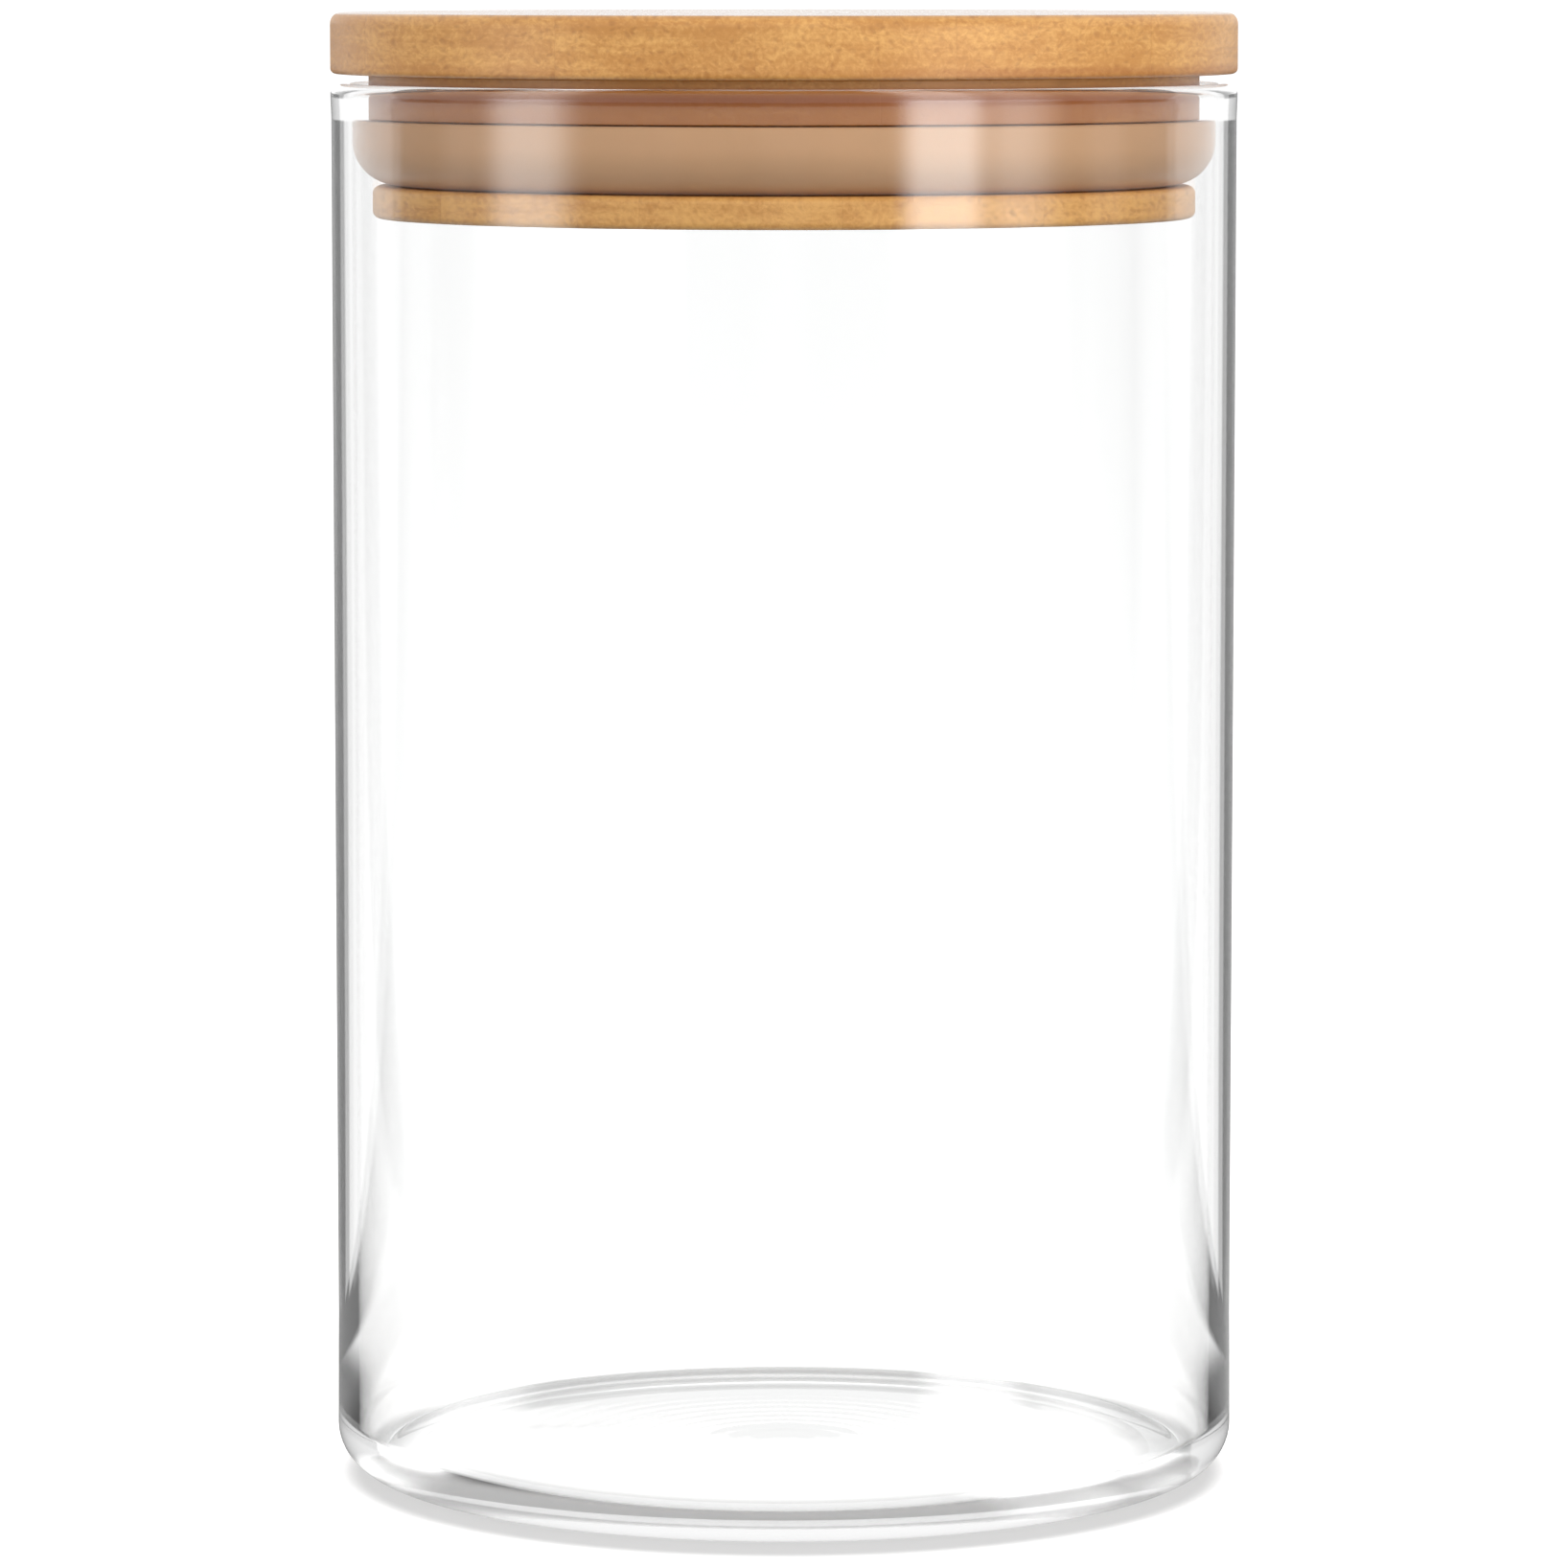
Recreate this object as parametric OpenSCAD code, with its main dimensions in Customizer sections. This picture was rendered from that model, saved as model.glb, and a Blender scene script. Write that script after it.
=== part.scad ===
// Lidded glass canister. A straight-walled borosilicate jar is closed by a
// turned bamboo lid. The lid is a glued stack of four bamboo layers, and a
// silicone lip seal sits in the groove between the neck and the flange.
// Units are millimetres. The origin is the middle of the base, on the surface
// that the jar stands on, and +Z is up.

/* [Jar] */
// Outer diameter of the jar
jar_d = 100; // [85:1:130]
// Height of the jar from its foot to its rim
jar_h = 154.3; // [90:0.1:240]
// Thickness of the wall
wall_t = 2.3; // [1.8:0.1:3]
// Thickness of the floor
floor_t = 2.4; // [2.4:0.1:4.5]
// Outer radius of the heel, where the wall turns into the base
heel_r = 5; // [4:0.5:8]
// Inner radius between the floor and the wall
floor_fillet_r = 4; // [3:0.5:8]
// Width of the flat ring that the jar stands on
foot_w = 4; // [2:0.5:8]
// Rise of the hollow under the base, at its centre
push_up = 0.6; // [0.3:0.1:1.2]
// Diameter of the shallow dimple in the middle of the floor
dimple_d = 19; // [12:1:26]
// Depth of the dimple
dimple_depth = 0.3; // [0.2:0.1:0.6]

/* [Lid] */
// Thickness of the disc that covers the rim
disc_t = 6.7; // [4:0.1:12]
// Radius of the disc's upper edge
disc_top_r = 1.2; // [0.4:0.1:2]
// Radius of the disc's lower edge
disc_bottom_r = 0.6; // [0.2:0.1:1]
// Gap all round between the neck and the glass
neck_gap = 1.9; // [1.2:0.1:3]
// Height of the neck between the disc and the groove
neck_h = 4.8; // [2:0.1:8]
// Depth of the groove that holds the seal
groove_depth = 3.6; // [3:0.1:5]
// Height of the groove
groove_h = 7.4; // [6:0.1:9]
// Thickness of the flange below the groove
flange_t = 3.5; // [2.5:0.1:6]
// Amount by which the flange is smaller in radius than the neck
flange_inset = 0.4; // [0:0.1:1]
// Radius of the flange's two edges
flange_edge_r = 0.8; // [0.3:0.1:1.2]

/* [Seal] */
// Height of the upright band at the tip of the lip
band_h = 2.2; // [0.8:0.1:3]
// Thickness of the lip
lip_t = 1.4; // [1:0.1:1.6]
// Width of the channel that lets the lip bend
channel_w = 1.2; // [0.8:0.1:1.4]
// Depth of that channel
channel_depth = 3.2; // [1.5:0.1:3.5]

/* [Fits] */
// Gap between the disc and the rim, where the seal's grip holds the lid up
rim_gap = 1; // [0.1:0.1:2]
// Gap between the seal's lip and the glass
lip_gap = 0.1; // [0.05:0.05:0.3]
// Gap between the seal and the walls of its groove
seal_gap = 0.1; // [0.05:0.05:0.3]

/* [Hidden] */
$fn = 128;

// Segments of the very large circle that hollows the base
bowl_fn = 1440;
// How far a cutting shape runs past the face that it cuts
cut_over = 1;

glass_colour = [0.87, 0.93, 0.93, 0.35];
bamboo_colour = [0.84, 0.65, 0.40];
seal_colour = [0.80, 0.77, 0.74, 0.8];

jar_r = jar_d / 2;
bore_r = jar_r - wall_t;
foot_outer_r = jar_r - heel_r;
foot_inner_r = foot_outer_r - foot_w;
rim_r = wall_t / 2;

neck_r = bore_r - neck_gap;
core_r = neck_r - groove_depth;
flange_r = neck_r - flange_inset;

disc_z = jar_h + rim_gap;
neck_z = disc_z - neck_h;
core_z = neck_z - groove_h;
flange_z = core_z - flange_t;

seal_h = groove_h - 2 * seal_gap;
seal_outer_r = bore_r - lip_gap;
seal_inner_r = core_r + seal_gap;
// Height of the plain heel under the curve of the lip
seal_heel_h = 0.2;
// Width of the seal's foot on the flange
seal_foot_w = 1.4;
lip_curve_r = seal_h - band_h - seal_heel_h;
lip_edge_r = 0.4;

// Radius of the circle that cuts a cap of a given half-width and depth
function cap_radius(half_w, depth) = (half_w * half_w + depth * depth) / (2 * depth);

// Half section of a round plate with its outer edges rounded
module plate_section(r, h, lower_r, upper_r) {
    translate([0, lower_r])
        square([r, h - lower_r - upper_r]);
    if (lower_r > 0) {
        square([r - lower_r, lower_r]);
        translate([r - lower_r, lower_r])
            circle(lower_r);
    }
    if (upper_r > 0) {
        translate([0, h - upper_r])
            square([r - upper_r, upper_r]);
        translate([r - upper_r, h - upper_r])
            circle(upper_r);
    }
}

// Half section of the jar's outside, with its heel and its round rim
module jar_outside() {
    square([foot_outer_r, heel_r]);
    translate([foot_outer_r, heel_r])
        circle(heel_r);
    translate([0, heel_r])
        square([jar_r, jar_h - heel_r - rim_r]);
    translate([jar_r - rim_r, jar_h - rim_r])
        circle(rim_r);
}

// Half section of the space inside the jar, open at the top
module jar_inside() {
    translate([0, floor_t])
        square([bore_r - floor_fillet_r, floor_fillet_r]);
    translate([bore_r - floor_fillet_r, floor_t + floor_fillet_r])
        circle(floor_fillet_r);
    translate([0, floor_t + floor_fillet_r])
        square([bore_r, jar_h]);
}

// Half section of the shallow hollow under the base
module base_hollow() {
    hollow_r = cap_radius(foot_inner_r, push_up);
    intersection() {
        translate([0, push_up - hollow_r])
            circle(hollow_r, $fn = bowl_fn);
        translate([0, -cut_over])
            square([foot_inner_r + cut_over, push_up + 2 * cut_over]);
    }
}

// Half section of the dimple in the middle of the floor
module floor_dimple() {
    dimple_r = cap_radius(dimple_d / 2, dimple_depth);
    intersection() {
        translate([0, floor_t - dimple_depth + dimple_r])
            circle(dimple_r, $fn = bowl_fn);
        translate([0, floor_t - dimple_depth - cut_over])
            square([dimple_d / 2 + cut_over, dimple_depth + 2 * cut_over]);
    }
}

module glass_jar() {
    color(glass_colour)
        rotate_extrude()
            difference() {
                jar_outside();
                jar_inside();
                base_hollow();
                floor_dimple();
            }
}

module lid_disc() {
    color(bamboo_colour)
        translate([0, 0, disc_z])
            rotate_extrude()
                plate_section(jar_r, disc_t, disc_bottom_r, disc_top_r);
}

module lid_neck() {
    color(bamboo_colour)
        translate([0, 0, neck_z])
            cylinder(r = neck_r, h = neck_h);
}

module lid_core() {
    color(bamboo_colour)
        translate([0, 0, core_z])
            cylinder(r = core_r, h = groove_h);
}

module lid_flange() {
    color(bamboo_colour)
        translate([0, 0, flange_z])
            rotate_extrude()
                plate_section(flange_r, flange_t, flange_edge_r, flange_edge_r);
}

// Half section of the seal: a foot that stands on the flange, a curve that
// swells out to the glass, and an upright band at the tip
module seal_outside() {
    curve_top = seal_h - band_h;
    translate([seal_inner_r, 0])
        square([seal_foot_w, seal_h]);
    intersection() {
        translate([seal_outer_r - lip_curve_r, curve_top])
            circle(lip_curve_r);
        translate([seal_inner_r, 0])
            square([seal_outer_r, curve_top]);
    }
    translate([seal_inner_r, curve_top])
        square([seal_outer_r - seal_inner_r, band_h - lip_edge_r]);
    translate([seal_inner_r, seal_h - lip_edge_r])
        square([seal_outer_r - lip_edge_r - seal_inner_r, lip_edge_r]);
    translate([seal_outer_r - lip_edge_r, seal_h - lip_edge_r])
        circle(lip_edge_r);
}

// Half section of the channel behind the lip, with a round bottom
module lip_channel() {
    channel_x = seal_outer_r - lip_t - channel_w / 2;
    bottom_z = seal_h - channel_depth + channel_w / 2;
    translate([channel_x - channel_w / 2, bottom_z])
        square([channel_w, channel_depth + cut_over]);
    translate([channel_x, bottom_z])
        circle(channel_w / 2);
}

module seal_ring() {
    color(seal_colour)
        translate([0, 0, core_z + seal_gap])
            rotate_extrude()
                difference() {
                    seal_outside();
                    lip_channel();
                }
}

glass_jar();
lid_disc();
lid_neck();
lid_core();
lid_flange();
seal_ring();
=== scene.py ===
"""Glass, bamboo and silicone looks for the lidded canister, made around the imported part."""

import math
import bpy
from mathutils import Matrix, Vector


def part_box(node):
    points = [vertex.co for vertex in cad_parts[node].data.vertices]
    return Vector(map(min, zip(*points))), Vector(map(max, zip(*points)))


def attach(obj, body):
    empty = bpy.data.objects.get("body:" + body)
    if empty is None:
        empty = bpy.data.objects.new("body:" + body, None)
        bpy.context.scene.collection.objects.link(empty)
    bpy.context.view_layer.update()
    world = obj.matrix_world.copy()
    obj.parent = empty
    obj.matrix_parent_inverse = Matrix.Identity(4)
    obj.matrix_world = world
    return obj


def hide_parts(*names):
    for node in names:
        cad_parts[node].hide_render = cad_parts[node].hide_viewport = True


bl_info = {
    "name": "Lidded Glass Canister",
    "version": (1, 0, 0),
    "blender": (4, 5, 0),
    "location": "3D View > Sidebar > Canister",
    "description": "Makes a glass canister with a bamboo lid and its studio",
    "category": "Add Mesh",
}

import bmesh
import bpy
from bpy.props import FloatProperty, FloatVectorProperty, IntProperty, PointerProperty
from bpy.types import Operator, Panel, PropertyGroup
from mathutils import Vector

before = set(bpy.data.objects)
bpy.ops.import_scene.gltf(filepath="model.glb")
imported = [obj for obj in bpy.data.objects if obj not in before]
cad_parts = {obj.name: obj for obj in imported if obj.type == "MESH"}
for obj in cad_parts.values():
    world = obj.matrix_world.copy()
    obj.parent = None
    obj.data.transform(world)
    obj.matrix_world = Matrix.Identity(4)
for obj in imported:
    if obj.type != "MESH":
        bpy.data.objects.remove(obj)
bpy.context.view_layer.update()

MM = 0.001
FULL_TURN = 2 * math.pi
DEGREES = 180 / math.pi
# Doubles closer than this are one vertex
WELD = 1e-7

# A ray whose Glossy Depth is above the first has been mirrored, and above the second trapped
MIRRORED = 0.5
TRAPPED = 3.5
WHITE = (1, 1, 1, 1)
BLACK = (0, 0, 0, 1)

# Reflections of the soft panels: power, then bearing round from +Y towards +X, half width
# and softness of the edge, in degrees
PANEL_GLOWS = (
    ("left_power", -112.0, 10.5, 7.0),
    ("right_power", 139.5, 9.5, 4.5),
    ("fill_power", 119.0, 9.0, 8.0),
)
# Lamp panels: name, then first and last bearing to the left (negative) or the right of the
# camera, seen from the jar, in degrees, and power
SOFTBOXES = (
    ("left_softbox", -81, -55, "left_power"),
    ("right_softbox", 29, 51, "right_power"),
    ("right_fill", 52, 80, "fill_power"),
    ("front_softbox", -26, 26, "front_power"),
)


# ---------------------------------------------------------------- settings


class GlassSettings(PropertyGroup):
    """Sizes and finish of the glass jar"""

    wall: FloatProperty(
        name="Wall", description="Thickness of the wall", default=2.3 * MM, unit="LENGTH"
    )
    floor: FloatProperty(
        name="Floor", description="Thickness of the floor", default=2.4 * MM, unit="LENGTH"
    )
    heel: FloatProperty(
        name="Heel", description="Outer radius of the heel", default=5 * MM, unit="LENGTH"
    )
    fillet: FloatProperty(
        name="Fillet",
        description="Inner radius between floor and wall",
        default=4 * MM,
        unit="LENGTH",
    )
    foot: FloatProperty(
        name="Foot",
        description="Width of the flat ring that the jar stands on",
        default=4 * MM,
        unit="LENGTH",
    )
    push_up: FloatProperty(
        name="Push-up",
        description="Rise of the hollow under the base",
        default=0.6 * MM,
        unit="LENGTH",
    )
    dimple: FloatProperty(
        name="Dimple",
        description="Depth of the dimple in the middle of the floor",
        default=0.3 * MM,
        unit="LENGTH",
    )
    dimple_radius: FloatProperty(
        name="Dimple radius",
        description="Radius of that dimple",
        default=9.5 * MM,
        unit="LENGTH",
    )
    bead: FloatProperty(
        name="Bead",
        description="How far the rim stands proud of the wall below it",
        default=0.08 * MM,
        unit="LENGTH",
    )
    # Painted light: strength of the glow that the glass gives out in the base
    trapped_light: FloatProperty(
        name="Trapped light",
        description="Painted glow that stands in for the light piped along inside the base",
        default=0.5,
    )
    ior: FloatProperty(
        name="IOR", description="Refraction of borosilicate glass", default=1.474
    )
    colour: FloatVectorProperty(
        name="Colour",
        description="Tint of the glass",
        subtype="COLOR",
        size=4,
        default=(0.992, 0.994, 0.993, 1),
    )


class LidSettings(PropertyGroup):
    """Sizes and colours of the bamboo lid"""

    top_edge: FloatProperty(
        name="Top edge",
        description="Radius of the disc's upper edge",
        default=1.2 * MM,
        unit="LENGTH",
    )
    bottom_edge: FloatProperty(
        name="Bottom edge",
        description="Radius of the disc's lower edge",
        default=0.6 * MM,
        unit="LENGTH",
    )
    flange_edge: FloatProperty(
        name="Flange edge",
        description="Radius of the flange's two edges",
        default=0.8 * MM,
        unit="LENGTH",
    )
    strip: FloatProperty(
        name="Strip",
        description="Width of one bamboo strip",
        default=21 * MM,
        unit="LENGTH",
    )
    light: FloatVectorProperty(
        name="Light wood",
        description="Colour of the soft tissue between the fibres",
        subtype="COLOR",
        size=4,
        default=(0.66, 0.355, 0.108, 1),
    )
    dark: FloatVectorProperty(
        name="Dark wood",
        description="Colour of the denser bands",
        subtype="COLOR",
        size=4,
        default=(0.465, 0.21, 0.05, 1),
    )
    fibre: FloatVectorProperty(
        name="Fibre",
        description="Colour of the fibre bundles",
        subtype="COLOR",
        size=4,
        default=(0.27, 0.105, 0.025, 1),
    )
    # Painted shade: the colour that darkens the neck under the disc and the disc's lower edge
    painted_shade: FloatVectorProperty(
        name="Painted shade",
        description="Colour painted as shade on the neck and on the disc's lower edge",
        subtype="COLOR",
        size=4,
        default=(0.24, 0.055, 0.004, 1),
    )


class SealSettings(PropertyGroup):
    """Sizes and colour of the silicone seal"""

    band: FloatProperty(
        name="Band",
        description="Height of the upright band at the tip of the lip",
        default=2.2 * MM,
        unit="LENGTH",
    )
    lip: FloatProperty(
        name="Lip", description="Thickness of the lip", default=1.4 * MM, unit="LENGTH"
    )
    channel: FloatProperty(
        name="Channel",
        description="Width of the channel behind the lip",
        default=1.2 * MM,
        unit="LENGTH",
    )
    channel_depth: FloatProperty(
        name="Channel depth",
        description="Depth of that channel",
        default=3.2 * MM,
        unit="LENGTH",
    )
    gap: FloatProperty(
        name="Gap",
        description="Space between the seal and the core",
        default=0.1 * MM,
        unit="LENGTH",
    )
    colour: FloatVectorProperty(
        name="Colour",
        description="Colour of the silicone",
        subtype="COLOR",
        size=4,
        default=(0.755, 0.455, 0.25, 1),
    )


class StageSettings(PropertyGroup):
    """Camera, floor and lights"""

    eye_height: FloatProperty(
        name="Eye height",
        description="Height of the camera",
        default=0.1681,
        unit="LENGTH",
    )
    eye_distance: FloatProperty(
        name="Eye distance",
        description="Distance from the camera to the jar's axis",
        default=0.85,
        unit="LENGTH",
    )
    aim_height: FloatProperty(
        name="Aim height",
        description="Height on the jar's axis that the camera looks at",
        default=0.0764,
        unit="LENGTH",
    )
    lens: FloatProperty(
        name="Lens", description="Focal length in millimetres", default=176.1
    )
    back_light: FloatProperty(
        name="Back light", description="Brightness of the surround, seen directly", default=1.2
    )
    through_light: FloatProperty(
        name="Through light",
        description="Brightness of the surround, seen through the glass",
        default=1.12,
    )
    sky_light: FloatProperty(
        name="Sky light",
        description="Brightness of the surround in glass and lacquer that mirror it",
        default=1.05,
    )
    card_light: FloatProperty(
        name="Card light", description="Brightness of the grey cards", default=0.15
    )
    card_start: FloatProperty(
        name="Card start",
        description="Distance from the jar's axis that the cards fan out from",
        default=0.049,
        unit="LENGTH",
    )
    contact: FloatProperty(
        name="Contact shade",
        description="Share of the light that reaches the table beside the heel",
        default=0.5,
        subtype="FACTOR",
    )
    room_light: FloatProperty(
        name="Room light", description="Brightness of the surround as a lamp", default=0.68
    )
    left_power: FloatProperty(
        name="Left softbox", description="Brightness of the left softbox", default=3.0
    )
    right_power: FloatProperty(
        name="Right softbox", description="Brightness of the right softbox", default=4.6
    )
    fill_power: FloatProperty(
        name="Fill softbox", description="Brightness of the wide right fill", default=2.0
    )
    front_power: FloatProperty(
        name="Front softbox", description="Brightness of the wide front panel", default=1.1
    )
    segments: IntProperty(
        name="Segments", description="Steps in one turn of a round piece", default=288
    )


SETTINGS = (GlassSettings, LidSettings, SealSettings, StageSettings)


# ---------------------------------------------------------------- round pieces


def outline(stops, closed=False):
    """A half section through stops of (radius, height, rounding, segments), with its corners rounded."""
    bm = bmesh.new()
    verts = [bm.verts.new((r, 0, z)) for r, z, _, _ in stops]
    for a, b in zip(verts, verts[1:]):
        bm.edges.new((a, b))
    if closed:
        bm.edges.new((verts[-1], verts[0]))
    for vert, (_, _, rounding, segments) in zip(verts, stops):
        if rounding > 0:
            bmesh.ops.bevel(
                bm,
                geom=[vert],
                offset=rounding,
                offset_type="OFFSET",
                segments=segments,
                profile=0.5,
                affect="VERTICES",
                clamp_overlap=False,
                material=-1,
            )
    return bm


def edges_between(bm, low, high):
    """The outline's edges whose two ends lie in a box from low to high, each (radius, height)."""
    found = []
    for edge in bm.edges:
        ends = [v.co for v in edge.verts]
        if all(
            low[0] - WELD <= c.x <= high[0] + WELD and low[1] - WELD <= c.z <= high[1] + WELD
            for c in ends
        ):
            found.append(edge)
    return found


def divide(bm, low, high, cuts):
    """Divides the outline's edges in that box, and returns the vertices on them."""
    edges = edges_between(bm, low, high)
    bmesh.ops.subdivide_edges(bm, edges=edges, cuts=cuts)
    return {v for e in edges_between(bm, low, high) for v in e.verts}


def turn(bm, segments):
    """Spins the outline once round Z into a closed skin that faces outwards."""
    bmesh.ops.spin(
        bm,
        geom=bm.verts[:] + bm.edges[:],
        cent=(0, 0, 0),
        axis=(0, 0, 1),
        dvec=(0, 0, 0),
        angle=FULL_TURN,
        steps=segments,
        use_merge=True,
        use_duplicate=False,
    )
    bmesh.ops.remove_doubles(bm, verts=bm.verts, dist=WELD)
    bmesh.ops.recalc_face_normals(bm, faces=bm.faces)
    if bm.calc_volume(signed=True) < 0:
        bmesh.ops.reverse_faces(bm, faces=bm.faces)


def place(bm, name, node, body, material):
    """Makes the piece from its mesh, and puts it on its body in place of its CAD node."""
    mesh = bpy.data.meshes.new(name)
    bm.to_mesh(mesh)
    bm.free()
    mesh.shade_smooth()
    mesh.materials.append(material)
    piece = bpy.data.objects.new(name, mesh)
    bpy.context.scene.collection.objects.link(piece)
    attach(piece, body)
    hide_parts(node)
    return piece


# ---------------------------------------------------------------- node trees


class Tree:
    """Short ways to add and join the nodes of one material or world."""

    def __init__(self, owner):
        owner.use_nodes = True
        self.nodes = owner.node_tree.nodes
        self.links = owner.node_tree.links
        self.nodes.clear()

    def add(self, kind, **values):
        node = self.nodes.new(kind)
        for name, value in values.items():
            setattr(node, name, value)
        return node

    def join(self, source, target):
        self.links.new(source, target)

    def feed(self, socket, value):
        """Links a socket to value, or sets it to value where value is a number or a colour."""
        if isinstance(value, bpy.types.NodeSocket):
            self.links.new(value, socket)
        else:
            socket.default_value = value

    def math(self, operation, a, b=0.0, c=0.0):
        node = self.add("ShaderNodeMath", operation=operation)
        for socket, value in zip(node.inputs, (a, b, c)):
            self.feed(socket, value)
        return node.outputs[0]

    def ramp(self, value, low, high, out_low=0.0, out_high=1.0):
        """value taken smoothly from out_low at low to out_high at high."""
        node = self.add("ShaderNodeMapRange", interpolation_type="SMOOTHSTEP")
        for socket, item in zip(node.inputs, (value, low, high, out_low, out_high)):
            self.feed(socket, item)
        return node.outputs[0]

    def mix(self, factor, a, b):
        node = self.add("ShaderNodeMix", data_type="RGBA")
        self.feed(node.inputs["Factor"], factor)
        self.feed(node.inputs["A"], a)
        self.feed(node.inputs["B"], b)
        return node.outputs["Result"]

    def mapping(self, vector, location=(0, 0, 0), scale=(1, 1, 1)):
        node = self.add("ShaderNodeMapping")
        self.join(vector, node.inputs["Vector"])
        node.inputs["Location"].default_value = location
        node.inputs["Scale"].default_value = scale
        return node.outputs["Vector"]

    def noise(self, vector, scale, detail=2.0, roughness=0.5):
        node = self.add("ShaderNodeTexNoise")
        self.join(vector, node.inputs["Vector"])
        node.inputs["Scale"].default_value = scale
        node.inputs["Detail"].default_value = detail
        node.inputs["Roughness"].default_value = roughness
        return node.outputs["Fac"]

    def wandered(self, vector, by, scale, detail, reach):
        """vector, moved by up to reach along each axis as a noise over by has it."""
        node = self.add("ShaderNodeTexNoise")
        self.join(self.mapping(by, scale=scale), node.inputs["Vector"])
        node.inputs["Scale"].default_value = 1.0
        node.inputs["Detail"].default_value = detail
        step = self.add("ShaderNodeVectorMath", operation="SCALE")
        self.join(node.outputs["Color"], step.inputs[0])
        step.inputs["Scale"].default_value = reach
        return self.sum(vector, step.outputs[0])

    def sum(self, a, b):
        node = self.add("ShaderNodeVectorMath", operation="ADD")
        self.join(a, node.inputs[0])
        self.join(b, node.inputs[1])
        return node.outputs[0]

    def length(self, vector):
        node = self.add("ShaderNodeVectorMath", operation="LENGTH")
        self.join(vector, node.inputs[0])
        return node.outputs["Value"]

    def axes(self, vector):
        node = self.add("ShaderNodeSeparateXYZ")
        self.join(vector, node.inputs[0])
        return node.outputs["X"], node.outputs["Y"], node.outputs["Z"]

    def channels(self, colour):
        node = self.add("ShaderNodeSeparateColor")
        self.join(colour, node.inputs[0])
        return node.outputs[0], node.outputs[1], node.outputs[2]

    def blend(self, factor, a, b):
        """Shader a where factor is 0, and b where it is 1."""
        node = self.add("ShaderNodeMixShader")
        for socket, source in zip(node.inputs, (factor, a, b)):
            self.join(source, socket)
        return node.outputs[0]

    def object_coordinates(self):
        return self.add("ShaderNodeTexCoord").outputs["Object"]

    def bump(self, height, strength, distance):
        node = self.add("ShaderNodeBump")
        node.inputs["Strength"].default_value = strength
        node.inputs["Distance"].default_value = distance
        self.join(height, node.inputs["Height"])
        return node.outputs["Normal"]

    def principled(self, **values):
        node = self.add("ShaderNodeBsdfPrincipled")
        for name, value in values.items():
            self.feed(node.inputs[name.replace("_", " ")], value)
        return node

    def finish(self, shader):
        output = self.add("ShaderNodeOutputMaterial")
        self.join(shader, output.inputs["Surface"])


def new_material(name):
    material = bpy.data.materials.new(name)
    return material, Tree(material)


# ---------------------------------------------------------------- finishes


def clear_glass(settings):
    """Colourless glass with the slow ripple of a blown wall. Lamps shine straight through it."""
    material, tree = new_material("clear_glass")
    slow = tree.mapping(tree.object_coordinates(), scale=(28, 28, 7))
    ripple = tree.noise(slow, scale=1.0, detail=1.0)
    path = tree.add("ShaderNodeLightPath")
    # Painted light: the glass glows pale where a ray has been mirrored more than three times, in place
    # of the light piped along inside the base
    trapped = tree.math("GREATER_THAN", path.outputs["Glossy Depth"], TRAPPED)
    glass = tree.principled(
        Base_Color=tuple(settings.colour),
        Roughness=0.0,
        IOR=settings.ior,
        Transmission_Weight=1.0,
        Emission_Color=WHITE,
        Emission_Strength=tree.math("MULTIPLY", trapped, settings.trapped_light),
        Normal=tree.bump(ripple, strength=0.35, distance=0.08 * MM),
    )
    clear = tree.add("ShaderNodeBsdfTransparent")
    clear.inputs["Color"].default_value = (0.96, 0.96, 0.96, 1)
    lamp_ray = tree.math("MAXIMUM", path.outputs["Is Shadow Ray"], path.outputs["Is Diffuse Ray"])
    tree.finish(tree.blend(lamp_ray, glass.outputs[0], clear.outputs[0]))
    return material


def bamboo_strips(tree, x, strip_mm):
    """The glue lines between strips, and three random numbers for each strip."""
    across = tree.math("DIVIDE", x, strip_mm)
    own = tree.add("ShaderNodeTexWhiteNoise", noise_dimensions="1D")
    tree.join(tree.math("FLOOR", across), own.inputs["W"])
    inside = tree.math("FRACT", across)
    to_edge = tree.math("MULTIPLY", tree.math("PINGPONG", inside, 0.5), strip_mm)
    glue = tree.ramp(to_edge, 0.03, 0.12, 1.0, 0.0)
    return glue, tree.channels(own.outputs["Color"])


def bamboo_bundles(tree, place_mm):
    """Fibre bundles: dots on the end grain, long streaks along the sides and the top."""
    bundles = tree.add("ShaderNodeTexVoronoi", feature="F1", voronoi_dimensions="3D")
    tree.join(tree.mapping(place_mm, scale=(1.25, 0.004, 1.5)), bundles.inputs["Vector"])
    bundles.inputs["Scale"].default_value = 1.0
    strength = tree.ramp(tree.channels(bundles.outputs["Color"])[0], 0.15, 0.85, 0.15, 1.0)
    dot = tree.ramp(bundles.outputs["Distance"], 0.08, 0.62, 1.0, 0.0)
    return tree.math("MULTIPLY", dot, strength)


def bamboo_knuckles(tree, place_mm, y, own_knuckle):
    """Knuckles: a dark line across each strip, with a pale band beside it."""
    knuckle_y = tree.math("MULTIPLY_ADD", own_knuckle, 130.0, -65.0)
    wander = tree.noise(tree.mapping(place_mm, scale=(0.12, 0.0, 0.25)), 1.0, 1.0)
    from_knuckle = tree.math(
        "SUBTRACT", tree.math("MULTIPLY_ADD", wander, 4.0, y), tree.math("ADD", knuckle_y, 2.0)
    )
    gap = tree.math("ABSOLUTE", from_knuckle)
    return tree.ramp(gap, 0.2, 1.3, 1.0, 0.0), tree.ramp(gap, 1.0, 5.5, 1.0, 0.0)


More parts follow.
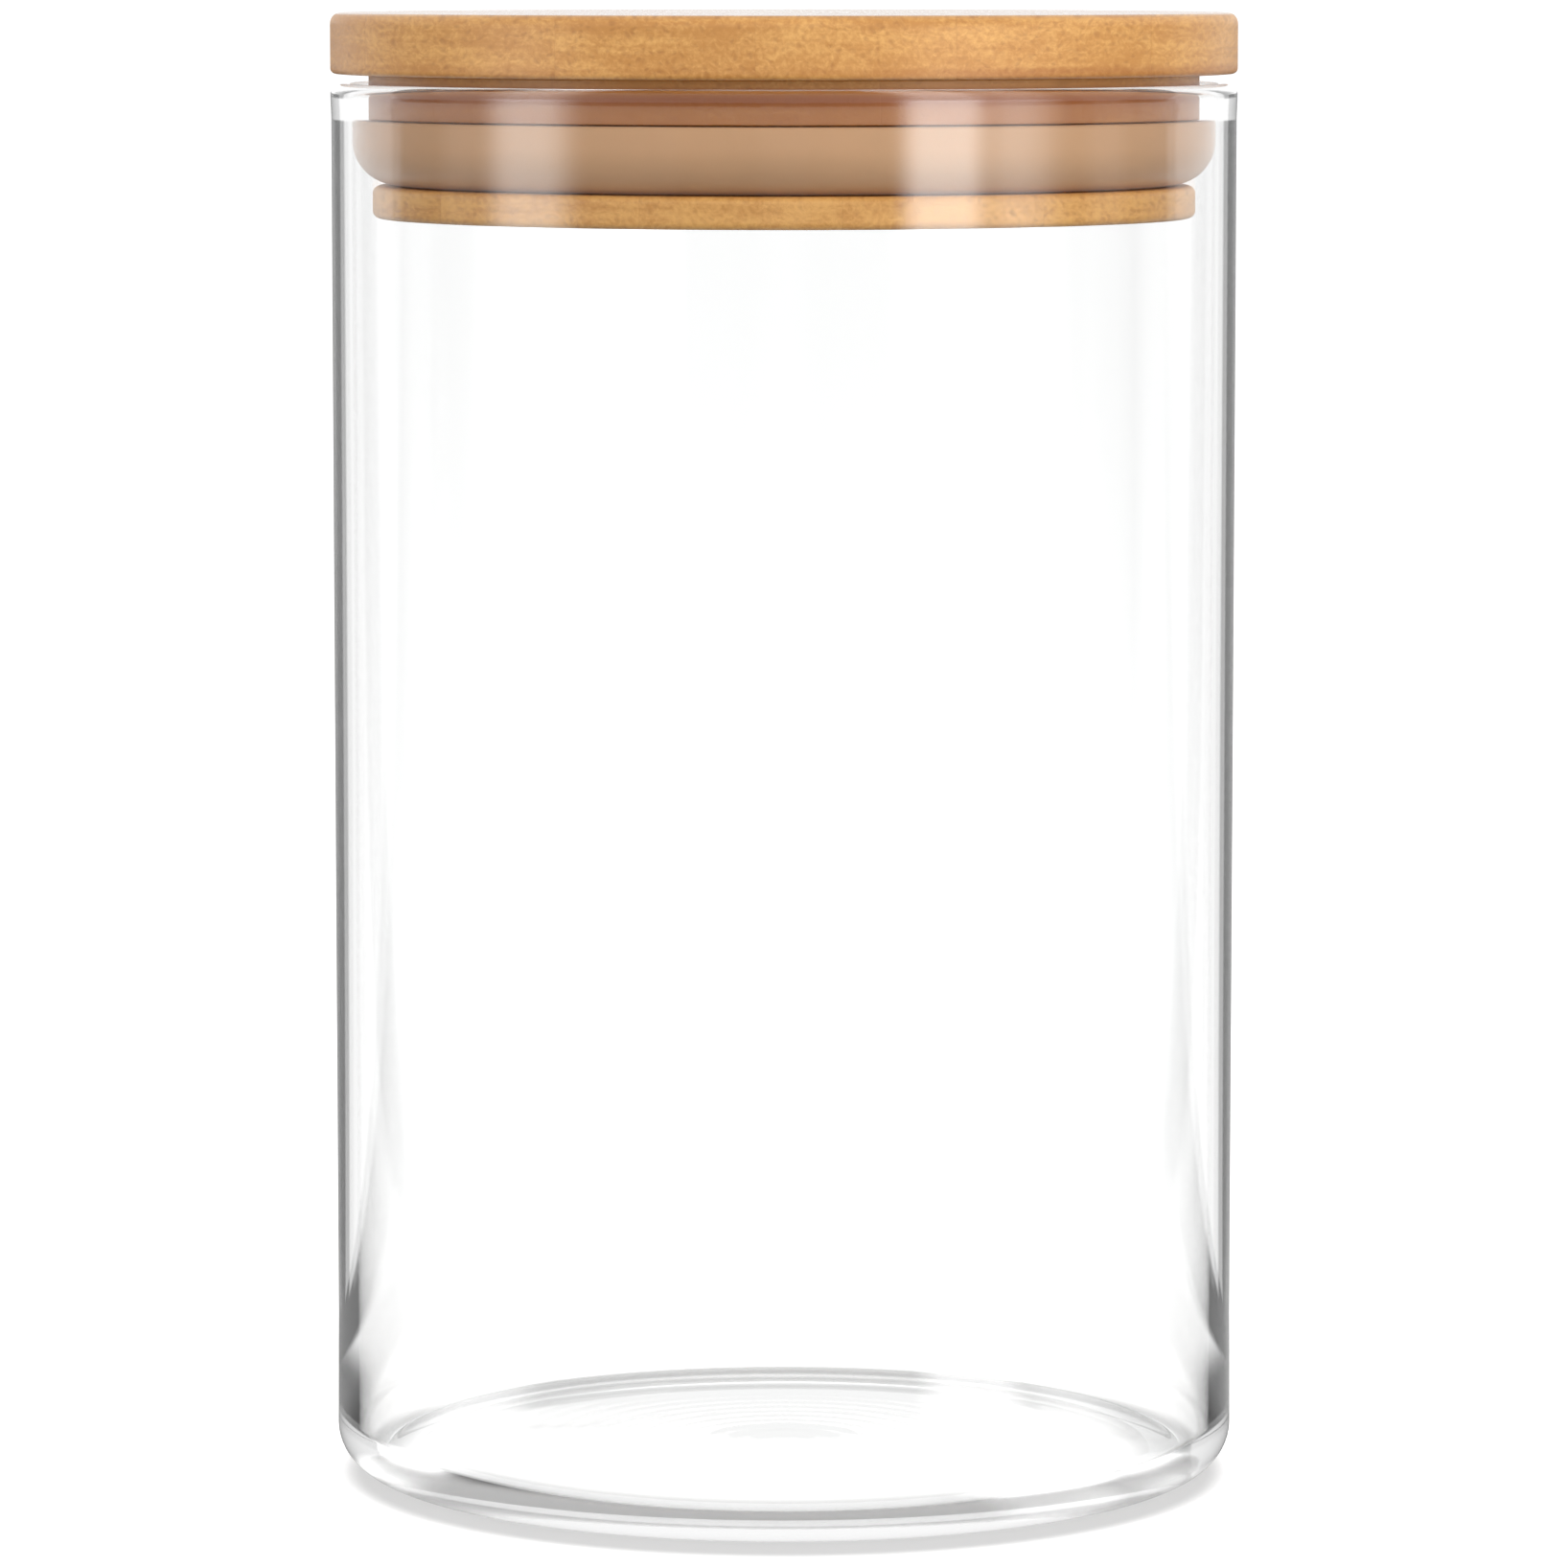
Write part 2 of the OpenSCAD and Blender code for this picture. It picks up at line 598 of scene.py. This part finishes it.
def bamboo(name, node, settings, shift, tone_and_shading):
    """Flat-pressed bamboo, solid through the layer, with its fibres along Y.

    shift moves the strips of one layer across the lid and through its thickness, and the
    last argument darkens or lightens the layer: lowered on the neck as painted shade, and
    raised on the flange as painted light.
    """
    low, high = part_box(node)
    material, tree = new_material(name)
    # The pattern is in millimetres
    place_mm = tree.mapping(
        tree.object_coordinates(), location=shift, scale=(1 / MM, 1 / MM, 1 / MM)
    )
    x, y, _ = tree.axes(place_mm)
    glue, (own_tone, own_place, own_knuckle) = bamboo_strips(tree, x, settings.strip / MM)

    # Fibres run along Y, and drift a little on the way, in each strip in its own way
    strip_place = tree.add("ShaderNodeCombineXYZ")
    tree.join(tree.math("MULTIPLY", own_place, 90.0), strip_place.inputs["X"])
    tree.join(tree.math("MULTIPLY", own_tone, 60.0), strip_place.inputs["Z"])
    drifted = tree.wandered(place_mm, place_mm, (0.02, 0.012, 0.02), detail=1.0, reach=9.0)
    along = tree.sum(drifted, strip_place.outputs[0])
    # A finer stir keeps the fibre bundles from standing in rows
    stirred = tree.wandered(along, place_mm, (0.55, 0.01, 0.55), detail=2.0, reach=1.5)
    dot = bamboo_bundles(tree, stirred)
    knuckle_line, knuckle_band = bamboo_knuckles(tree, place_mm, y, own_knuckle)

    # Fine fibres, mottling, and slow bands between them
    fine = tree.noise(tree.mapping(along, scale=(3.4, 0.03, 3.4)), 1.0, 3.0, 0.6)
    mottle = tree.noise(tree.mapping(stirred, scale=(2.0, 0.015, 2.4)), 1.0, 2.0, 0.6)
    band = tree.noise(tree.mapping(along, scale=(0.16, 0.006, 0.42)), 1.0, 2.0, 0.5)
    patch = tree.noise(tree.mapping(place_mm, scale=(0.045, 0.03, 0.06)), 1.0, 2.0, 0.5)
    layers = tree.noise(tree.mapping(place_mm, scale=(0.05, 0.03, 1.1)), 1.0, 3.0, 0.6)
    shares = (
        (band, 0.8),
        (fine, 0.4),
        (mottle, 1.1),
        (patch, 0.4),
        (layers, 0.8),
        (own_tone, 0.14),
    )
    # Half of each share comes off again, so that the patterns leave the mean tone alone
    tone_mix = tone_and_shading + 0.3
    for pattern, share in shares:
        centred = tree.math("MULTIPLY_ADD", pattern, share, -share / 2)
        tone_mix = tree.math("ADD", centred, tone_mix)
    colour = tree.mix(tree.ramp(tone_mix, 0.0, 0.9), tuple(settings.dark), tuple(settings.light))
    dense = tree.ramp(patch, 0.32, 0.62, 0.35, 1.0)
    tints = (
        (tree.math("MULTIPLY", dot, dense), 0.42, settings.fibre),
        (knuckle_band, 0.15, settings.light),
        (knuckle_line, 0.25, settings.fibre),
        (glue, 0.1, settings.fibre),
    )
    for mask, share, tint in tints:
        colour = tree.mix(tree.math("MULTIPLY", mask, share), colour, tuple(tint))
    relief = fine
    for mask, depth in ((dot, -0.7), (glue, -0.4), (knuckle_line, -0.5)):
        relief = tree.math("MULTIPLY_ADD", mask, depth, relief)

    roughness = tree.ramp(fine, 0.2, 0.8, 0.40, 0.50)
    coat = 0.3
    across, _, height = tree.axes(tree.object_coordinates())
    if node == "lid_neck":
        # Painted shade: the neck is darkened, most of all in a band a little under the disc, where the
        # disc and the rim keep the light off it
        rising = tree.ramp(height, high.z - 3.4 * MM, high.z - 2.0 * MM, 0.55, 0.98)
        falling = tree.ramp(height, high.z - 1.3 * MM, high.z - 0.6 * MM, 1.0, 0.1)
        painted_shade = tree.math("MULTIPLY", rising, falling)
        colour = tree.mix(painted_shade, colour, tuple(settings.painted_shade))
    if node == "lid_disc":
        # Painted shade: the disc's lower edge is darkened, mostly towards one side, where the gap under
        # it lies in shade
        side = tree.ramp(across, 5 * MM, 22 * MM, 0.35, 1.0)
        painted_shade = tree.ramp(height, low.z + 0.8 * MM, low.z + 1.6 * MM, 0.4, 0.0)
        painted_shade = tree.math("MULTIPLY", painted_shade, side)
        colour = tree.mix(painted_shade, colour, tuple(settings.painted_shade))
        # The top is sanded finer than the side
        polish = tree.ramp(height, high.z - 0.3 * MM, high.z - 0.05 * MM)
        roughness = tree.math("MULTIPLY_ADD", polish, -0.35, roughness)
        coat = tree.math("MULTIPLY_ADD", polish, -coat, coat)
        relief = tree.math("MULTIPLY", relief, tree.math("MULTIPLY_ADD", polish, -0.95, 1.0))

    wood = tree.principled(
        Base_Color=colour,
        Roughness=roughness,
        IOR=1.45,
        Coat_Weight=coat,
        Coat_Roughness=0.3,
        Normal=tree.bump(relief, strength=0.35, distance=0.04 * MM),
    )
    tree.finish(wood.outputs[0])
    return material


def frosted_silicone(settings):
    """Translucent silicone that lets the bamboo behind it tint it."""
    material, tree = new_material("frosted_silicone")
    place_mm = tree.mapping(tree.object_coordinates(), scale=(1 / MM, 1 / MM, 1 / MM))
    cloud = tree.noise(place_mm, 0.12, 2.0)
    grain = tree.noise(place_mm, 5.0, 2.0)
    cooler = tuple(c * 0.9 for c in settings.colour[:3]) + (1,)
    silicone = tree.principled(
        Base_Color=tree.mix(cloud, tuple(settings.colour), cooler),
        Roughness=tree.ramp(grain, 0.3, 0.7, 0.36, 0.5),
        IOR=1.41,
        Transmission_Weight=0.35,
        Sheen_Weight=0.15,
        Sheen_Roughness=0.4,
        Normal=tree.bump(grain, strength=0.15, distance=0.02 * MM),
    )
    tree.finish(silicone.outputs[0])
    return material


def panel_glow(tree, bearing, stage):
    """Glow of the soft panels by bearing, in degrees round from +Y towards +X."""
    total = 0.0
    for power, centre, half, soft in PANEL_GLOWS:
        gap = tree.math("ABSOLUTE", tree.math("SUBTRACT", bearing, centre))
        glow = tree.ramp(gap, half - soft, half + soft, getattr(stage, power), 0.0)
        total = tree.math("ADD", glow, total)
    return total


def mirrored_table(tree, spot, stage):
    """Brightness of the table as glass and lacquer mirror it.

    It is bright, with a pair of grey cards either side of each quarter, a dim front and the
    glow of soft panels to both sides. It's no part of what is seen straight on or through glass.
    """
    x, y, _ = tree.axes(spot)
    distance = tree.length(spot)
    # The cards fan out from the jar's sides, so they are measured from the wall, in degrees
    beside_x = tree.math("ABSOLUTE", x)
    beside_y = tree.math("ABSOLUTE", y)
    shorter = tree.math("SUBTRACT", tree.math("MINIMUM", beside_x, beside_y), stage.card_start)
    longer = tree.math("MAXIMUM", beside_x, beside_y)
    from_quarter = tree.math("MULTIPLY", tree.math("ARCTAN2", shorter, longer), DEGREES)
    card_from = tree.ramp(distance, 80 * MM, 450 * MM, 6.0, 4.0)
    middle = tree.ramp(from_quarter, card_from, tree.math("ADD", card_from, 3.0), 1.0, 0.0)
    outer = tree.ramp(from_quarter, 24.5, 27.5, 0.0, 1.0)
    # The jar keeps the light off a ring of the table all round it
    ring = tree.ramp(distance, 85 * MM, 120 * MM)
    open_share = tree.math("MULTIPLY", tree.math("MAXIMUM", middle, outer), ring)
    open_light, card_light = 0.95, stage.card_light
    light = tree.math("MULTIPLY_ADD", open_share, open_light - card_light, card_light)
    # Degrees round from +Y, positive towards +X
    bearing = tree.math("MULTIPLY", tree.math("ARCTAN2", x, y), DEGREES)
    degrees = tree.math("ABSOLUTE", bearing)
    light = tree.math("MULTIPLY", light, tree.ramp(degrees, 62.0, 78.0, 1.0, 0.35))
    light = tree.math("MULTIPLY", light, tree.ramp(degrees, 100.0, 115.0, 1.0, 0.25))
    return tree.math("ADD", light, panel_glow(tree, bearing, stage))


def pale_floor(stage):
    """A white table top that glows a little, as one lit from below does."""
    material, tree = new_material("pale_floor")
    spot = tree.object_coordinates()
    radius = tree.length(spot)
    # The surround is brightest behind, so the jar's shade lies a little towards the front
    shade_radius = tree.length(tree.mapping(spot, location=(0, 4 * MM, 0)))
    # Light that the heel keeps off the table beside it
    path = tree.add("ShaderNodeLightPath")
    is_mirrored = tree.math("GREATER_THAN", path.outputs["Glossy Depth"], MIRRORED)
    # A mirror sees under the overhang of the heel, where it is darker still
    contact = tree.math("MULTIPLY_ADD", is_mirrored, -0.2, stage.contact)
    inward = tree.ramp(radius, 36 * MM, 44 * MM, 1.0, contact)
    outward = tree.ramp(shade_radius, 47 * MM, 51.5 * MM, contact, 1.0)
    lit = tree.math("MAXIMUM", inward, outward)
    # The table throws less light back on the lid than the camera sees
    bounce = path.outputs["Is Diffuse Ray"]
    white = tree.math("MULTIPLY", lit, tree.math("MULTIPLY_ADD", bounce, -0.5, 0.88))
    glow = tree.math("MULTIPLY", lit, tree.math("MULTIPLY_ADD", bounce, -0.55, 0.55))
    top = tree.principled(
        Base_Color=tree.mix(white, BLACK, WHITE),
        Roughness=0.9,
        Specular_IOR_Level=0.0,
        Emission_Color=WHITE,
        Emission_Strength=glow,
    )
    room = tree.add("ShaderNodeEmission")
    tree.feed(room.inputs["Strength"], mirrored_table(tree, spot, stage))
    beyond = tree.ramp(radius, 47.5 * MM, 50.5 * MM)
    in_mirror = tree.math("MULTIPLY", is_mirrored, beyond)
    tree.finish(tree.blend(in_mirror, top.outputs[0], room.outputs[0]))
    return material


def studio_world(stage):
    """A white surround, dimmer as a lamp than as a backdrop."""
    world = bpy.data.worlds.new("studio")
    bpy.context.scene.world = world
    tree = Tree(world)
    path = tree.add("ShaderNodeLightPath")
    straight = tree.math(
        "MULTIPLY", path.outputs["Is Camera Ray"], stage.back_light - stage.room_light
    )
    through = tree.math(
        "MULTIPLY", path.outputs["Is Transmission Ray"], stage.through_light - stage.room_light
    )
    plain = tree.math("ADD", tree.math("ADD", straight, through), stage.room_light)
    is_mirrored = tree.math("GREATER_THAN", path.outputs["Glossy Depth"], MIRRORED)
    strength = tree.add("ShaderNodeMix", data_type="FLOAT")
    tree.join(is_mirrored, strength.inputs["Factor"])
    tree.join(plain, strength.inputs["A"])
    x, y, z = tree.axes(tree.add("ShaderNodeTexCoord").outputs["Generated"])
    glow = panel_glow(tree, tree.math("MULTIPLY", tree.math("ARCTAN2", x, y), DEGREES), stage)
    # The panels end about 5 degrees up
    glow = tree.math("MULTIPLY", glow, tree.ramp(z, 0.03, 0.12, 1.0, 0.0))
    tree.join(tree.math("ADD", glow, stage.sky_light), strength.inputs["B"])
    background = tree.add("ShaderNodeBackground")
    background.inputs["Color"].default_value = WHITE
    tree.join(strength.outputs["Result"], background.inputs["Strength"])
    output = tree.add("ShaderNodeOutputWorld")
    tree.join(background.outputs[0], output.inputs["Surface"])


# ---------------------------------------------------------------- operators


class CANISTER_OT_glass_jar(Operator):
    """Make the glass jar"""

    bl_idname = "canister.glass_jar"
    bl_label = "Glass jar"

    def execute(self, context):
        glass = context.scene.canister_glass
        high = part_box("glass_jar")[1]
        jar_r, rim_z = high.x, high.z
        bore_r = jar_r - glass.wall
        # Two roundings of half the wall would meet in one vertex
        rim = glass.wall / 2 - 0.01 * MM
        foot_r = jar_r - glass.heel - glass.foot
        # Loops this close to a rounding keep the straight wall's shading straight
        near = 0.25 * MM
        heel_top = glass.heel + near
        fillet_top = glass.floor + glass.fillet + near
        lip_low = rim_z - glass.wall / 2 - near
        # The fire-polished rim stands a little proud of the wall below it
        wall_r = jar_r - glass.bead
        stops = [
            (0, 0, 0, 0),
            (foot_r, 0, 0, 0),
            (jar_r, 0, glass.heel, 20),
            (jar_r, heel_top, 0, 0),
            (wall_r, heel_top + 12 * MM, 0, 0),
            (wall_r, lip_low - 1.9 * MM, 0.8 * MM, 6),
            (jar_r, lip_low - 0.6 * MM, 0.8 * MM, 6),
            (jar_r, lip_low, 0, 0),
            (jar_r, rim_z, rim, 12),
            (bore_r, rim_z, rim, 12),
            (bore_r, lip_low, 0, 0),
            (bore_r, fillet_top, 0, 0),
            (bore_r, glass.floor, glass.fillet, 20),
            (bore_r - glass.fillet - near, glass.floor, 0, 0),
            (0, glass.floor, 0, 0),
        ]
        bm = outline(stops)
        divide(bm, (bore_r, heel_top), (wall_r, lip_low), 15)
        for vert in divide(bm, (0, 0), (foot_r, 0), 24):
            vert.co.z = glass.push_up * (1 - (vert.co.x / foot_r) ** 2)
        flat_r = bore_r - glass.fillet - near
        for vert in divide(bm, (0, glass.floor), (flat_r, glass.floor), 90):
            vert.co.z -= self.sink(glass, vert.co.x)
        turn(bm, context.scene.canister_stage.segments)
        place(bm, "jar_glass", "glass_jar", "jar", clear_glass(glass))
        return {"FINISHED"}

    @staticmethod
    def sink(glass, radius):
        """How far the floor lies below its level: a dimple, with faint rings round it."""
        share = radius / glass.dimple_radius
        dimple = glass.dimple * max(0.0, 1 - share**2) ** 1.5
        rings = 0.012 * MM * math.cos(FULL_TURN * radius / (2.6 * MM))
        return dimple + rings * math.exp(-((share / 2.2) ** 2)) * min(1.0, share)


class CANISTER_OT_bamboo_lid(Operator):
    """Make the four bamboo layers of the lid"""

    bl_idname = "canister.bamboo_lid"
    bl_label = "Bamboo lid"

    def execute(self, context):
        lid = context.scene.canister_lid
        hidden_edge = 0.2 * MM
        # The last column darkens or lightens each layer: lowered on the neck as painted shade, raised on
        # the flange as painted light
        layers = (
            ("bamboo_disc", "lid_disc", lid.bottom_edge, lid.top_edge, (3.0, 0, 0), 0.04),
            ("bamboo_neck", "lid_neck", hidden_edge, hidden_edge, (11.0, 40, 6), -0.12),
            ("bamboo_core", "lid_core", hidden_edge, hidden_edge, (7.0, 20, 14), 0.0),
            ("bamboo_flange", "lid_flange", lid.flange_edge, lid.flange_edge, (15.0, 70, 23), 0.26),
        )
        for name, node, lower, upper, shift, tone_and_shading in layers:
            bm = self.plate(node, lower, upper)
            turn(bm, context.scene.canister_stage.segments)
            place(bm, name, node, "lid", bamboo(name, node, lid, shift, tone_and_shading))
        return {"FINISHED"}

    @staticmethod
    def plate(node, lower, upper):
        """Half section of a round plate that fills the node's box, with its edges rounded."""
        low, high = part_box(node)
        near = 0.2 * MM
        return outline(
            [
                (0, low.z, 0, 0),
                (high.x - lower - near, low.z, 0, 0),
                (high.x, low.z, lower, 8),
                (high.x, low.z + lower + near, 0, 0),
                (high.x, high.z - upper - near, 0, 0),
                (high.x, high.z, upper, 10),
                (high.x - upper - near, high.z, 0, 0),
                (0, high.z, 0, 0),
            ]
        )


class CANISTER_OT_seal_ring(Operator):
    """Make the silicone lip seal"""

    bl_idname = "canister.seal_ring"
    bl_label = "Seal ring"

    def execute(self, context):
        seal = context.scene.canister_seal
        low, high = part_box("seal_ring")
        outer_r = high.x
        inner_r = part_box("lid_core")[1].x + seal.gap
        swell = high.z - low.z - seal.band
        channel_out = outer_r - seal.lip
        channel_in = channel_out - seal.channel
        channel_z = high.z - seal.channel_depth
        channel_round = seal.channel / 2 - 0.01 * MM
        stops = [
            (inner_r, low.z, 0.1 * MM, 3),
            (outer_r, low.z, swell, 24),
            (outer_r, high.z, 0.4 * MM, 6),
            (channel_out, high.z, 0.3 * MM, 5),
            (channel_out, channel_z, channel_round, 6),
            (channel_in, channel_z, channel_round, 6),
            (channel_in, high.z, 0.2 * MM, 4),
            (inner_r, high.z, 0.2 * MM, 4),
        ]
        bm = outline(stops, closed=True)
        turn(bm, context.scene.canister_stage.segments)
        place(bm, "silicone_seal", "seal_ring", "seal", frosted_silicone(seal))
        return {"FINISHED"}


class CANISTER_OT_stage(Operator):
    """Make the camera, the floor, the surround and the softboxes"""

    bl_idname = "canister.stage"
    bl_label = "Stage"

    def execute(self, context):
        stage = context.scene.canister_stage
        context.scene.view_settings.view_transform = "Standard"
        self.camera(context.scene, stage)
        self.floor(context.scene, stage)
        studio_world(stage)
        for name, first, last, power in SOFTBOXES:
            self.softbox(name, first, last, getattr(stage, power))
        return {"FINISHED"}

    @staticmethod
    def camera(scene, stage):
        camera = bpy.data.objects.new("camera", bpy.data.cameras.new("camera"))
        scene.collection.objects.link(camera)
        camera.location = (0, -stage.eye_distance, stage.eye_height)
        aim = Vector((0, 0, stage.aim_height)) - camera.location
        camera.rotation_euler = aim.to_track_quat("-Z", "Y").to_euler()
        camera.data.lens = stage.lens
        camera.data.sensor_width = 36
        camera.data.clip_start, camera.data.clip_end = 0.01, 200
        scene.camera = camera

    @staticmethod
    def floor(scene, stage):
        bm = bmesh.new()
        # Wide enough that its edge lies beyond every view
        bmesh.ops.create_circle(bm, cap_ends=True, segments=96, radius=60)
        mesh = bpy.data.meshes.new("floor")
        bm.to_mesh(mesh)
        bm.free()
        mesh.materials.append(pale_floor(stage))
        floor = bpy.data.objects.new("floor", mesh)
        scene.collection.objects.link(floor)

    @staticmethod
    def softbox(name, first, last, brightness):
        """An upright lamp panel that spans these bearings as seen from the jar."""
        distance, height = 1.15, 1.0
        bearing = math.radians((first + last) / 2)
        light = bpy.data.lights.new(name, "AREA")
        light.shape = "RECTANGLE"
        light.size = 2 * distance * math.tan(math.radians(last - first) / 2)
        light.size_y = height
        # Power that gives the panel this radiance
        light.energy = brightness * math.pi * light.size * light.size_y
        lamp = bpy.data.objects.new(name, light)
        bpy.context.scene.collection.objects.link(lamp)
        lamp.location = (
            distance * math.sin(bearing),
            -distance * math.cos(bearing),
            height / 2,
        )
        lamp.rotation_euler = (math.radians(90), 0, bearing)
        # The mirrored room already holds the panel's soft reflection
        lamp.visible_camera = False
        lamp.visible_glossy = False
        lamp.visible_transmission = False


OPERATORS = (
    CANISTER_OT_stage,
    CANISTER_OT_glass_jar,
    CANISTER_OT_bamboo_lid,
    CANISTER_OT_seal_ring,
)


class CANISTER_PT_panel(Panel):
    """Lists the canister's pieces and its stage"""

    bl_label = "Canister"
    bl_idname = "CANISTER_PT_panel"
    bl_space_type = "VIEW_3D"
    bl_region_type = "UI"
    bl_category = "Canister"

    def draw(self, context):
        scene = context.scene
        groups = (
            scene.canister_stage,
            scene.canister_glass,
            scene.canister_lid,
            scene.canister_seal,
        )
        for operator, group in zip(OPERATORS, groups):
            box = self.layout.box()
            for name in group.__annotations__:
                box.prop(group, name)
            box.operator(operator.bl_idname)


CLASSES = SETTINGS + OPERATORS + (CANISTER_PT_panel,)


def register():
    for cls in CLASSES:
        bpy.utils.register_class(cls)
    bpy.types.Scene.canister_glass = PointerProperty(type=GlassSettings)
    bpy.types.Scene.canister_lid = PointerProperty(type=LidSettings)
    bpy.types.Scene.canister_seal = PointerProperty(type=SealSettings)
    bpy.types.Scene.canister_stage = PointerProperty(type=StageSettings)


def unregister():
    del bpy.types.Scene.canister_stage
    del bpy.types.Scene.canister_seal
    del bpy.types.Scene.canister_lid
    del bpy.types.Scene.canister_glass
    for cls in reversed(CLASSES):
        bpy.utils.unregister_class(cls)


def main():
    register()
    bpy.ops.canister.stage()
    bpy.ops.canister.glass_jar()
    bpy.ops.canister.bamboo_lid()
    bpy.ops.canister.seal_ring()


if __name__ == "__main__":
    main()
